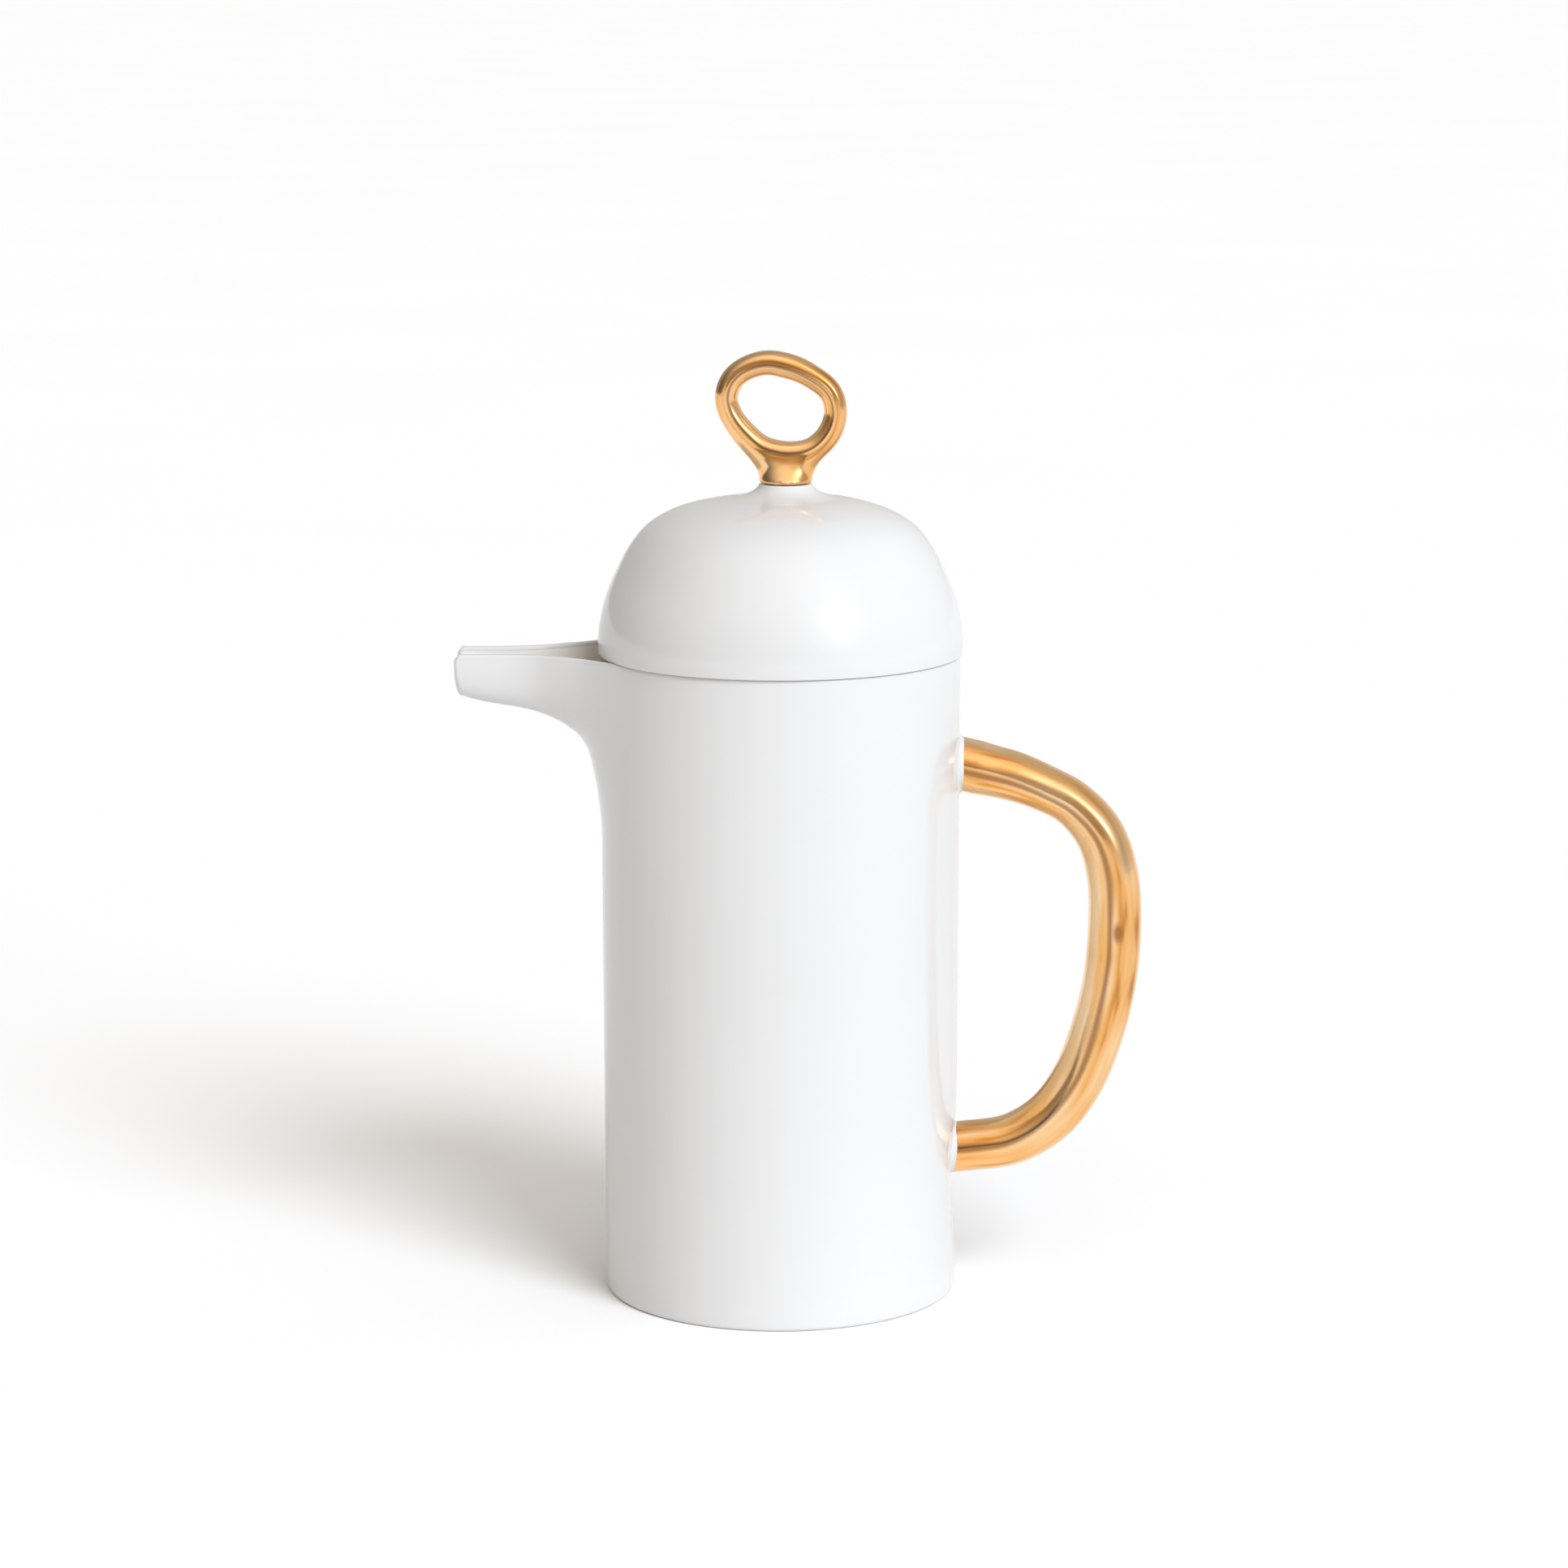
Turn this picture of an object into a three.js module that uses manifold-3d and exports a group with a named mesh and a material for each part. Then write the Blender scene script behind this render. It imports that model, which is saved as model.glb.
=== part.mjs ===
// A coffee pot in white glazed china: a straight-sided beaker with an open beak spout, a rod
// handle in gold lustre, and a loose domed lid with a gold ring finial.
//
// Millimetres, +Z up. The origin is the centre of the flat base, on the axis of the beaker.
// The spout points along -X and the handle along +X.

import * as THREE from "three";
import { ParametricGeometry } from "three/addons/geometries/ParametricGeometry.js";
import { mergeVertices } from "three/addons/utils/BufferGeometryUtils.js";
import Module from "manifold-3d";

const wasm = await Module();
wasm.setup();

// ---------------------------------------------------------------- driving dimensions

const GAP = 0.3; // between two pieces that are luted together on the real pot
const WALL = 3; // of every thrown or pressed wall

// Beaker
const BASE_RADIUS = 47.6;
const RIM_RADIUS = 48;
const RIM_Z = 174;
const RIM_ROUND = 1.2; // radius of both edges of the rim
const BASE_ROUND = 1.2; // radius round the edge that the pot stands on
const FLOOR = 4; // thickness of the bottom
const INNER_ROUND = 7; // radius inside, between floor and wall
const MOUTH_RADIUS = RIM_RADIUS - WALL;

// Spout: an open trough whose two edges are level with the rim
const TIP_ROUND = 3; // radius of the tip's lower corner
const TIP_SQUARENESS = 3.2; // of its U-shaped section: 2 is an ellipse, more is squarer
const ROOT_SQUARENESS = 1.8;

// Handle
const GRIP_RADIUS = 6.9;
const GOLD_START_RADIUS = 50; // distance from the axis where the gold begins
const ROOT_FLARE = 2.6; // how much wider each white root is where it meets the wall

// Lid
const DOME_RADIUS = 48.65;
const DOME_EDGE_ROUND = 1.8;
const DOME_TOP_Z = 216;
const SEAT_Z = RIM_Z + GAP;
const FLANGE_RADIUS = 44.2;
const FLANGE_THICKNESS = 2.8;
const FLANGE_BOTTOM_Z = 165;
const FLANGE_TOP_Z = 182;

// Finial
const FINIAL_X = 1.1; // the ring was set a little towards the handle
const NECK_TOP_Z = 219;
const NECK_TOP_RADIUS = 7.1;
const NECK_FOOT_RADIUS = 11.5;
const RING_ROD_RADIUS = 3.15;

// Facets
const ROUND = 48; // round the large turned pieces
const ROUND_SMALL = 24; // round the small turned pieces
const DOME_STEPS = 14; // along the dome's line, outside and inside
const TAU = 2 * Math.PI;

// ---------------------------------------------------------------- outlines

const vec2 = ([x, y]) => new THREE.Vector2(x, y);
const vec3 = ([x, y, z]) => new THREE.Vector3(x, y, z);

// The spout outside: distance from the beaker's axis, half width at the top and lowest z, from the
// tip to inside the wall. It is narrow and nearly level, then flares and sweeps down the wall.
const SPOUT_SKIN = new THREE.CatmullRomCurve3(
  [[87.2, 8.2, 162.2], [78, 8.3, 160.2], [68, 9.3, 158.4], [60, 13.4, 155.2], [54.5, 17, 151.5],
    [51, 20.8, 144], [48.8, 25, 133], [47.4, 27.5, 124], [44, 30, 112]].map(vec3),
);

// The trough inside the spout, in the same terms, from beyond the tip to inside the beaker.
const SPOUT_TROUGH = new THREE.CatmullRomCurve3(
  [[90, 5.5, 166.4], [78, 5.6, 163.8], [68, 6.5, 161.8], [60, 10, 158.8], [53, 14.3, 154],
    [46, 18.5, 148], [38, 20, 143]].map(vec3),
);

// The dome's outer line, radius and z, from above its rounded lower edge to the top.
const DOME_LINE = new THREE.SplineCurve(
  [[DOME_RADIUS, 178], [48.1, 182.4], [46.6, 188.6], [43.9, 195.4], [40, 202.3], [35.6, 207.6],
    [29.3, 211.5], [21.5, 213.9], [12, 215.4], [0, DOME_TOP_Z]].map(vec2),
);

// The middle of the handle's rod, in the XZ plane, from the upper root to the lower one.
const GRIP_PATH = new THREE.CatmullRomCurve3(
  [[42, 145.4], [52.1, 143.1], [62.2, 140.7], [70.4, 137.6], [78.2, 133.4], [85.2, 125.4],
    [88.9, 114.1], [89.9, 100], [88.8, 86], [85.6, 71.4], [80.4, 57.6], [72.9, 47.1],
    [62.9, 40.8], [51.9, 38.8], [42, 38.2],
  ].map(([x, z]) => new THREE.Vector3(x, 0, z)),
);

// The middle of the finial's rod, a closed loop in the XZ plane, squashed by hand out of round.
const RING_PATH = new THREE.CatmullRomCurve3(
  [[-14.1, 240.2], [-11.9, 247.1], [-4.5, 250.75], [2, 249.95], [7.4, 247.6], [12.8, 243.2],
    [14.5, 238], [12.9, 231.9], [8.2, 227.5], [1.5, 226.6], [-5, 228.5], [-9.4, 232],
    [-12.6, 235.6]].map(([x, z]) => new THREE.Vector3(x, 0, z)),
  true,
);

// The finial's foot: [z, middle in x, half width in x, half width in y] from its base upwards.
const FOOT_SECTIONS = [
  [219.3, 1.1, 6.7, 6.7],
  [219.8, 1.1, 7.05, 7.05],
  [222.3, 1.1, 7.3, 6.8],
  [225, 1.4, 8.6, 5.7],
  [227.5, 1.6, 10.8, 4.4],
  [230, 1.7, 12, 3.2],
];

// ---------------------------------------------------------------- solids

// A closed geometry as a solid that can be joined and cut.
function solid(geometry) {
  geometry.deleteAttribute("normal");
  geometry.deleteAttribute("uv");
  const merged = mergeVertices(geometry, 1e-4);
  const vertProperties = merged.attributes.position.array;
  const triVerts = new Uint32Array(merged.index.array);
  return new wasm.Manifold(new wasm.Mesh({ numProp: 3, vertProperties, triVerts }));
}

// A finished solid as a geometry.
function geometryOf(finished) {
  const { vertProperties, triVerts } = finished.getMesh();
  const geometry = new THREE.BufferGeometry();
  geometry.setAttribute("position", new THREE.BufferAttribute(vertProperties, 3));
  geometry.setIndex(new THREE.BufferAttribute(triVerts, 1));
  geometry.computeVertexNormals();
  return geometry;
}

// A profile of [radius, z] points turned about the Z axis. It runs up the outside and down the
// inside, and starts and ends on the axis or closes on itself.
function turned(profile, segments) {
  return new THREE.LatheGeometry(profile.map(vec2), segments).rotateX(Math.PI / 2);
}

// Points on a quarter circle, from one angle to another in degrees.
function arc(radius, z, size, from, to, steps = 4) {
  return Array.from({ length: steps + 1 }, (_, i) => {
    const angle = THREE.MathUtils.degToRad(from + ((to - from) * i) / steps);
    return [radius + size * Math.cos(angle), z + size * Math.sin(angle)];
  });
}

// A closed skin through sections. section(angle, along, spread, target) sets a point on the
// section at `along`, 0 to 1, and spread 0 puts it in the section's middle, which caps the ends.
function lofted(section, around, stations) {
  const rows = stations + 2;
  const skin = (u, v, target) => {
    const column = Math.round(u * around) % around;
    const row = Math.round(v * rows);
    const along = THREE.MathUtils.clamp((row - 1) / stations, 0, 1);
    const spread = row === 0 || row === rows ? 0 : 1;
    section((column / around) * TAU, along, spread, target);
  };
  return new ParametricGeometry(skin, around, rows);
}

// A round rod along a path in the XZ plane.
function rod(path, radiusAt, around, stations) {
  const section = (angle, along, spread, target) => {
    const middle = path.getPointAt(along);
    const tangent = path.getTangentAt(along);
    const out = spread * radiusAt(along) * Math.cos(angle);
    const across = spread * radiusAt(along) * Math.sin(angle);
    target.set(middle.x + out * tangent.z, across, middle.z - out * tangent.x);
  };
  return lofted(section, around, stations);
}

// A closed ring of round rod along a closed path in the XZ plane.
function rodRing(path, radius, around, stations) {
  const skin = (u, v, target) => {
    const angle = ((Math.round(u * around) % around) / around) * TAU;
    const along = (Math.round(v * stations) % stations) / stations;
    const middle = path.getPointAt(along);
    const tangent = path.getTangentAt(along);
    const out = radius * Math.cos(angle);
    target.set(middle.x + out * tangent.z, radius * Math.sin(angle), middle.z - out * tangent.x);
  };
  return new ParametricGeometry(skin, around, stations);
}

// A U-shaped bar that runs out along -X with its flat side up. Each section lies on a cylinder
// round the beaker's axis, so the last one follows the wall. The line holds, for each section,
// its distance from the axis, its half width at the top and its lowest z.
function beak(line, topZ, tipRound, around, stations) {
  const section = (angle, along, spread, target) => {
    const { x: distance, y: halfWidth, z: lowest } = line.getPoint(along);
    const back = Math.min((line.points[0].x - distance) / TIP_ROUND, 1);
    const rise = tipRound * (1 - Math.sqrt(1 - (1 - back) ** 2));
    const deep = topZ - lowest - rise;
    const power = 2 / THREE.MathUtils.lerp(TIP_SQUARENESS, ROOT_SQUARENESS, along);
    const side = Math.sign(Math.cos(angle)) * Math.abs(Math.cos(angle)) ** power;
    const down = Math.max(-Math.sin(angle), 0) ** power;
    const y = spread * halfWidth * side;
    const z = spread ? topZ - deep * down : topZ - deep / 2;
    target.set(-Math.sqrt(distance ** 2 - y ** 2), y, z);
  };
  return lofted(section, around, stations);
}

// The solid inside the beaker's or the collar's radius, for cutting other pieces back to it.
const core = (radius) => solid(turned([[0, -1], [radius, -1], [radius, 260], [0, 260]], ROUND));

// ---------------------------------------------------------------- beaker and spout

function beakerSolid() {
  const rimIn = MOUTH_RADIUS + RIM_ROUND;
  const rimOut = RIM_RADIUS - RIM_ROUND;
  const profile = [
    [0, 0],
    ...arc(BASE_RADIUS - BASE_ROUND, BASE_ROUND, BASE_ROUND, -90, 0, 3),
    [(BASE_RADIUS + RIM_RADIUS) / 2, RIM_Z / 2],
    ...arc(rimOut, RIM_Z - RIM_ROUND, RIM_ROUND, 0, 90, 3),
    ...arc(rimIn, RIM_Z - RIM_ROUND, RIM_ROUND, 90, 180, 3),
    ...arc(BASE_RADIUS - WALL - INNER_ROUND, FLOOR + INNER_ROUND, INNER_ROUND, 0, -90, 4),
    [0, FLOOR],
  ];
  return solid(turned(profile, ROUND));
}

const trough = solid(beak(SPOUT_TROUGH, RIM_Z + 4, 0, 24, 18));
const beaker = beakerSolid().subtract(trough);
const beakBar = solid(beak(SPOUT_SKIN, RIM_Z, TIP_ROUND, 28, 24));
const spout = beakBar.subtract(trough).subtract(core(RIM_RADIUS + GAP));

// ---------------------------------------------------------------- handle

// The rod is a little thicker at its upper root and round the middle of the grip.
function gripRadius(along) {
  const atRoot = 0.6 * (1 - THREE.MathUtils.smoothstep(along, 0.03, 0.16));
  const atMiddle = 0.3 * Math.sin(Math.PI * along);
  return GRIP_RADIUS - 0.15 + atRoot + atMiddle;
}

const gripBar = solid(rod(GRIP_PATH, gripRadius, 16, 36));
const grip = gripBar.subtract(core(GOLD_START_RADIUS));

// A white root: the clay collar that joins one end of the rod to the wall of the beaker.
function rootSolid(z, tilt, radius) {
  const from = RIM_RADIUS - 4;
  const to = GOLD_START_RADIUS + 1;
  const flare = arc(0, 0, 1, 90, 0, 4).map(([along, width]) => [
    radius + ROOT_FLARE * (1 - along) * width,
    from + 3 + along * (to - from - 3),
  ]);
  const wide = radius + ROOT_FLARE;
  const profile = [[0, from], [wide, from], ...flare, [radius, to], [0, to]];
  const collar = turned(profile, ROUND_SMALL);
  collar.rotateY(Math.PI / 2 + tilt);
  collar.translate(0, 0, z);
  return solid(collar).subtract(core(RIM_RADIUS + GAP)).intersect(core(GOLD_START_RADIUS - GAP));
}

const upperRoot = rootSolid(154.8, 0.22, 7.35);
const lowerRoot = rootSolid(35.9, -0.055, 6.85);

// ---------------------------------------------------------------- lid

const domeLine = DOME_LINE.getPoints(DOME_STEPS).map((p) => [p.x, p.y]);

// The dome's inner line: the outer one, moved in by the wall's thickness.
function domeInside() {
  const inner = [];
  for (let i = 0; i < DOME_STEPS; i += 1) {
    const point = DOME_LINE.getPoint(i / DOME_STEPS);
    const tangent = DOME_LINE.getTangent(i / DOME_STEPS);
    inner.push([Math.max(point.x - WALL * tangent.y, 0), point.y + WALL * tangent.x]);
  }
  inner.push([0, DOME_TOP_Z - WALL]);
  return inner.filter(([radius]) => radius < FLANGE_RADIUS - 0.5).reverse();
}

function domeSolid() {
  const seatIn = FLANGE_RADIUS + GAP;
  const profile = [
    [seatIn, SEAT_Z],
    ...arc(DOME_RADIUS - DOME_EDGE_ROUND, SEAT_Z + DOME_EDGE_ROUND, DOME_EDGE_ROUND, -90, 0, 4),
    ...domeLine,
    ...domeInside(),
    [seatIn, FLANGE_TOP_Z + 1],
    [seatIn, SEAT_Z],
  ];
  return solid(turned(profile, ROUND));
}

function flangeSolid() {
  const inside = FLANGE_RADIUS - FLANGE_THICKNESS;
  const half = FLANGE_THICKNESS / 2;
  const profile = [
    ...arc(inside + half, FLANGE_BOTTOM_Z + half, half, -180, 0, 6),
    [FLANGE_RADIUS, FLANGE_TOP_Z],
    [inside, FLANGE_TOP_Z],
    [inside, FLANGE_BOTTOM_Z + half],
  ];
  return solid(turned(profile, ROUND));
}

// The neck flares down from the finial and dies into the top of the dome.
function neckSolid() {
  const drop = NECK_TOP_Z - DOME_TOP_Z + 0.8;
  const flare = arc(0, 0, 1, 0, 90, 5).map(([down, out]) => [
    NECK_TOP_RADIUS + (NECK_FOOT_RADIUS - NECK_TOP_RADIUS) * (1 - out),
    NECK_TOP_Z - drop * down,
  ]);
  const foot = DOME_TOP_Z - 3;
  const profile = [[0, foot], [NECK_FOOT_RADIUS, foot], ...flare, [0, NECK_TOP_Z]];
  const neck = turned(profile, ROUND_SMALL).translate(FINIAL_X, 0, 0);
  const under = turned([[0, 170], [DOME_RADIUS, 170], ...domeLine], ROUND);
  return solid(neck).subtract(solid(under.translate(0, 0, GAP)));
}

// ---------------------------------------------------------------- finial

function footSolid() {
  const last = FOOT_SECTIONS.length - 1;
  const section = (angle, along, spread, target) => {
    const [z, middle, halfX, halfY] = FOOT_SECTIONS[Math.round(along * last)];
    const x = middle + spread * halfX * Math.cos(angle);
    target.set(x, spread * halfY * Math.sin(angle), z);
  };
  return solid(lofted(section, ROUND_SMALL, last));
}

const finial = solid(rodRing(RING_PATH, RING_ROD_RADIUS, 14, 40)).add(footSolid());

// ---------------------------------------------------------------- scene graph

const porcelain = () =>
  new THREE.MeshStandardMaterial({ color: 0xf1eeea, roughness: 0.12, metalness: 0 });
const goldLustre = () =>
  new THREE.MeshStandardMaterial({ color: 0xdca868, roughness: 0.2, metalness: 1 });

function piece(name, finished, material) {
  const mesh = new THREE.Mesh(geometryOf(finished), material);
  mesh.name = name;
  return mesh;
}

const pot = new THREE.Group();
pot.add(piece("pot_body", beaker, porcelain()));
pot.add(piece("spout", spout, porcelain()));
pot.add(piece("handle_root_upper", upperRoot, porcelain()));
pot.add(piece("handle_root_lower", lowerRoot, porcelain()));
pot.add(piece("handle_grip", grip, goldLustre()));

const lid = new THREE.Group();
lid.add(piece("lid_dome", domeSolid(), porcelain()));
lid.add(piece("lid_flange", flangeSolid(), porcelain()));
lid.add(piece("lid_neck", neckSolid(), porcelain()));
lid.add(piece("finial_ring", finial, goldLustre()));

const coffeePot = new THREE.Group();
coffeePot.add(pot, lid);

export default coffeePot;
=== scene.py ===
# A coffee pot in white glazed china with gold lustre: its looks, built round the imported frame.
# Lengths are millimetres up to the point where a mesh is made, and MM turns them into metres.
import math

import bmesh
import bpy
import numpy as np
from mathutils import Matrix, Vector


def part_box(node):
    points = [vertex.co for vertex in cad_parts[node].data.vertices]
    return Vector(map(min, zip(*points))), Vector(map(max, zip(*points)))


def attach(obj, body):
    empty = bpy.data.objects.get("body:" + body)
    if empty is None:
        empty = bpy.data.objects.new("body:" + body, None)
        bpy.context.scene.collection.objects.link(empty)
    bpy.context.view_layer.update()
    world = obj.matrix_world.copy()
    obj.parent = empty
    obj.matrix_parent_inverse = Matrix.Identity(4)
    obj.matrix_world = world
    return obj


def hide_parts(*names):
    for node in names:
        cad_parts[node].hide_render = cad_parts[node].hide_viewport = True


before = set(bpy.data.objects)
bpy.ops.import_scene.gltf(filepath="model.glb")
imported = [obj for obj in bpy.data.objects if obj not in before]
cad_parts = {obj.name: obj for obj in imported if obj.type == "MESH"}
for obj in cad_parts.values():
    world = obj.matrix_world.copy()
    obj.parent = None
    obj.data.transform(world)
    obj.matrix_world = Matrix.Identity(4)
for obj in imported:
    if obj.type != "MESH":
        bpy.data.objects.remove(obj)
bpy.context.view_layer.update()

MM = 0.001
TAU = 2 * math.pi


# ------------------------------------------------------------------ sizes


def span(node):
    """Lowest and highest corner of a CAD node, in millimetres."""
    low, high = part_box(node)
    return np.array(low) / MM, np.array(high) / MM


body_high = span("pot_body")[1]
spout_low = span("spout")[0]
dome_low, dome_high = span("lid_dome")
flange_low, flange_high = span("lid_flange")
neck_low, neck_high = span("lid_neck")
finial_low, finial_high = span("finial_ring")

RIM_Z = body_high[2]
RIM_RADIUS = body_high[1]
TIP_REACH = -spout_low[0]  # the spout's tip, from the pot's axis
DOME_RADIUS = dome_high[1]
DOME_TOP_Z = dome_high[2]
SEAT_Z = dome_low[2]
FLANGE_RADIUS = flange_high[1]
FLANGE_BOTTOM_Z = flange_low[2]
NECK_TOP_Z = neck_high[2]
FINIAL_X = (neck_low[0] + neck_high[0]) / 2

WALL = 3.0
TAPER = 0.4  # how much narrower the base is than the rim, in radius
EDGE_ROUND = 1.2  # height of the rounding along the rim and the spout's edges
EDGE_SQUARE = (0.4, 0.8)  # at the rim and on the spout; below 1, flatter on top than an ellipse
LID_EDGE_ROUND = 0.32
LID_CLEARANCE = 0.04  # between the lid's edge and the rim
BASE_ROUND = 1.3
FLOOR = 4.0
INNER_ROUND = 7.0
LIP_CORNER = 0.5  # extra rounding of the upper corners at the spout's tip
LIP_SKEW = 0.05  # how much further the far side of the tip reaches than the near side, per mm
LIP_BOW = 0.3  # how far the tip leans back towards its lowest line
LIP_THICKENING = 0.9  # how much fuller the edge is under the trough, at the tip
SPOUT_DROOP = 0.45  # how much lower the spout's edges are at the tip than at the wall
FLANGE_THICKNESS = 2.8
DENT_DEPTH = 1.9  # the thumb-sized hollow under the lower end of the handle
DENT_Z = 29.0
DENT_HEIGHT = 14.5
DENT_ANGLE = 0.3
# The slight waves of the hand-worked wall: size, how many round the pot, twist per mm, and phase
WALL_WAVES = [(0.10, 2, 1 / 70, 0.7), (0.07, 3, -1 / 38, 2.1)]
# and those of the dome, which have no twist
DOME_WAVES = [(0.12, 2, 1.9), (0.07, 3, 0.4)]

# The spout's patch of wall, which its skin flares out to
PATCH_DEPTH = 74.0  # below the rim
PATCH_WIDTH = 0.83  # half of it, as a share of the radius
LIP_START = 4.0  # below the rim, where the tip begins to lean back
LIP_RUN = 7.0  # how far down it goes on increasing
TIP_ZONE = 7.0  # the length of spout that the shape of the lip acts on
EDGE_CHANGE = 5.0  # how far out from the wall the edge turns from the rim's section to the spout's

# Mesh resolution
SIDE_ROWS = 24
BELOW_ROWS = 34
SADDLE_BOTTOM = 40
SADDLE_ROWS = 14
SPOUT_STATIONS = 52
ROUND_COLUMNS = 96
STATION_CROWDING = 1.35  # above 1, the spout's stations are closer together towards its tip
EDGE_ROWS = 10
LID_COLUMNS = 160
DOME_ROWS = 56
DOME_INSIDE_ROWS = 44
NECK_ROWS = 11
ROD_COLUMNS = 48
ROD_ROWS = 170
COLLAR_ROWS = 11
FINIAL_CELL = 0.62  # of the grid that finds the finial's surface

# The spout, from its tip to the wall: distance from the axis, half width at the top, depth of its
# lowest line below the rim, and squareness of its U-shaped section (2 is an ellipse).
SPOUT_OUTSIDE = [
    (TIP_REACH - EDGE_ROUND, 8.2, 12.5, 3.4),
    (77.6, 8.35, 14.2, 3.3),
    (69.8, 8.9, 15.5, 3.0),
    (64.6, 10.3, 16.8, 2.7),
    (59.4, 13.3, 19.0, 2.4),
    (56.8, 15.0, 20.6, 2.3),
    (54.2, 17.0, 22.6, 2.2),
    (51.6, 20.2, 26.5, 2.1),
    (50.5, 22.0, 30.3, 2.0),
    (49.6, 24.0, 34.7, 1.95),
    (48.9, 26.0, 39.1, 1.9),
    (48.3, 28.7, 44.5, 1.85),
    (48.0, 31.5, 50.0, 1.8),
    (48.0, 34.0, 56.0, 1.8),
]
# The same for the trough inside it, down to where it has rolled over onto the inner wall.
SPOUT_INSIDE = [
    (TIP_REACH - EDGE_ROUND, 5.6, 6.4, 3.0),
    (77.6, 5.75, 9.6, 3.0),
    (69.8, 6.3, 11.9, 2.8),
    (64.6, 7.6, 13.5, 2.6),
    (59.4, 10.4, 15.6, 2.4),
    (56.8, 12.1, 17.0, 2.3),
    (54.2, 14.1, 18.7, 2.2),
    (51.6, 17.2, 20.8, 2.1),
    (50.2, 19.2, 22.2, 2.0),
    (48.4, 21.4, 24.0, 2.0),
    (46.6, 23.2, 26.5, 1.9),
    (45.5, 25.0, 30.0, 1.9),
    (45.0, 27.3, 34.5, 1.8),
    (45.0, 30.0, 40.0, 1.8),
]

# The middle of the neck's top, which the finial stands on: radius and depth below the top.
NECK_TOP = [(0, 0), (2, 0), (4.5, 0), (6.3, 0), (6.75, 0.05), (7.0, 0.2)]
NECK_TOP_EDGE = (7.1, 0.35)  # the same, where the neck's side begins
NECK_WAIST = (8.1, 216.4)  # radius and z of the point that the side is drawn in towards
NECK_FOOT_RADIUS = 13.5
# The neck stands off the pot's axis with the finial, and the dome's top follows it.
OFFSET_REACH = 28.0  # where the dome starts to follow
OFFSET_FADE = 15.0
OFFSET_ROWS = 40  # of the dome, to take in all of that
# The dome's waves grow from a height above the seat upwards, and fade out near the middle.
WAVE_Z = 180.0
WAVE_RISE = 20.0
WAVE_REACH = 30.0

# The dome's outer line from the neck down: radius and z.
DOME_LINE = [
    (0, DOME_TOP_Z),
    (12, 215.4),
    (21.5, 213.9),
    (29.3, 211.5),
    (35.6, 207.7),
    (40, 202.5),
    (43.9, 195.2),
    (46.65, 188.4),
    (48.1, 182.3),
    (DOME_RADIUS, 178),
]
# The dome's inner line, from the flange up to the middle.
DOME_INSIDE = [
    (41.4, 181),
    (41.6, 188),
    (40.9, 194.4),
    (37.3, 200.8),
    (33.6, 205),
    (28.2, 208.5),
    (20.9, 210.9),
    (11.9, 212.4),
    (0, 213),
]

# The handle's rod from the upper root to the lower one: x, z and radius.
ROD_LINE = [
    (42, 145.4, 7.7),
    (52.1, 143.1, 7.25),
    (57.1, 141.95, 6.9),
    (62.2, 140.7, 6.75),
    (70.4, 137.6, 6.3),
    (78.2, 133.4, 6.25),
    (85.4, 125.2, 6.65),
    (89.0, 114.1, 6.95),
    (89.7, 100, 7.15),
    (88.7, 86, 7.2),
    (85.5, 71.4, 7.25),
    (80.4, 57.6, 7.15),
    (72.9, 47.1, 7.1),
    (62.9, 40.8, 6.95),
    (51.9, 38.8, 6.85),
    (42, 38.2, 7.0),
]

# The finial's rod, a closed loop: x, z and radius.
RING_LINE = [
    (-14.2, 240.2, 3.05),
    (-13.8, 244.2, 3.1),
    (-11.05, 248.05, 3.15),
    (-4.5, 250.7, 3.3),
    (2.05, 249.9, 3.4),
    (7.35, 247.7, 3.2),
    (12.95, 243.3, 3.1),
    (14.5, 238.0, 3.05),
    (12.75, 232.1, 3.2),
    (8.2, 227.9, 3.2),
    (1.5, 226.8, 3.2),
    (-5.0, 228.5, 3.25),
    (-9.05, 231.65, 3.3),
    (-12.35, 235.7, 3.1),
]


# ------------------------------------------------------------------ lines and grids


def smooth_line(points, samples=40, closed=False):
    """A dense smooth line through a few points (centripetal Catmull-Rom)."""
    p = np.array(points, float)
    if closed:
        p = np.vstack([p[-1], p, p[0], p[1]])
    else:
        p = np.vstack([2 * p[0] - p[1], p, 2 * p[-1] - p[-2]])
    knot = np.concatenate([[0], np.cumsum(np.linalg.norm(np.diff(p, axis=0), axis=1) ** 0.5)])
    t = np.linspace(0, 1, samples, endpoint=False)[:, None]
    out = []
    for i in range(1, len(p) - 2):
        a, b, c, d = p[i - 1 : i + 3]
        ka, kb, kc, kd = knot[i - 1 : i + 3]
        leave = (kc - kb) * ((b - a) / (kb - ka) - (c - a) / (kc - ka) + (c - b) / (kc - kb))
        reach = (kc - kb) * ((c - b) / (kc - kb) - (d - b) / (kd - kb) + (d - c) / (kd - kc))
        out.append(
            (2 * t**3 - 3 * t**2 + 1) * b
            + (t**3 - 2 * t**2 + t) * leave
            + (3 * t**2 - 2 * t**3) * c
            + (t**3 - t**2) * reach
        )
    if not closed:
        out.append(p[-2][None])
    return np.vstack(out)


def lengths(line, dims=None):
    """Length along a line up to each of its points, measured in its first dims columns."""
    steps = np.linalg.norm(np.diff(line[:, :dims], axis=0), axis=1)
    return np.concatenate([[0], np.cumsum(steps)])


def along(line, fractions, dims=None):
    """Points of a line at the given fractions of its length."""
    run = lengths(line, dims)
    want = np.asarray(fractions) * run[-1]
    return np.stack([np.interp(want, run, column) for column in line.T], 1)


def even(line, count):
    """count + 1 evenly spaced points along a line."""
    return along(line, np.linspace(0, 1, count + 1))


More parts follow.
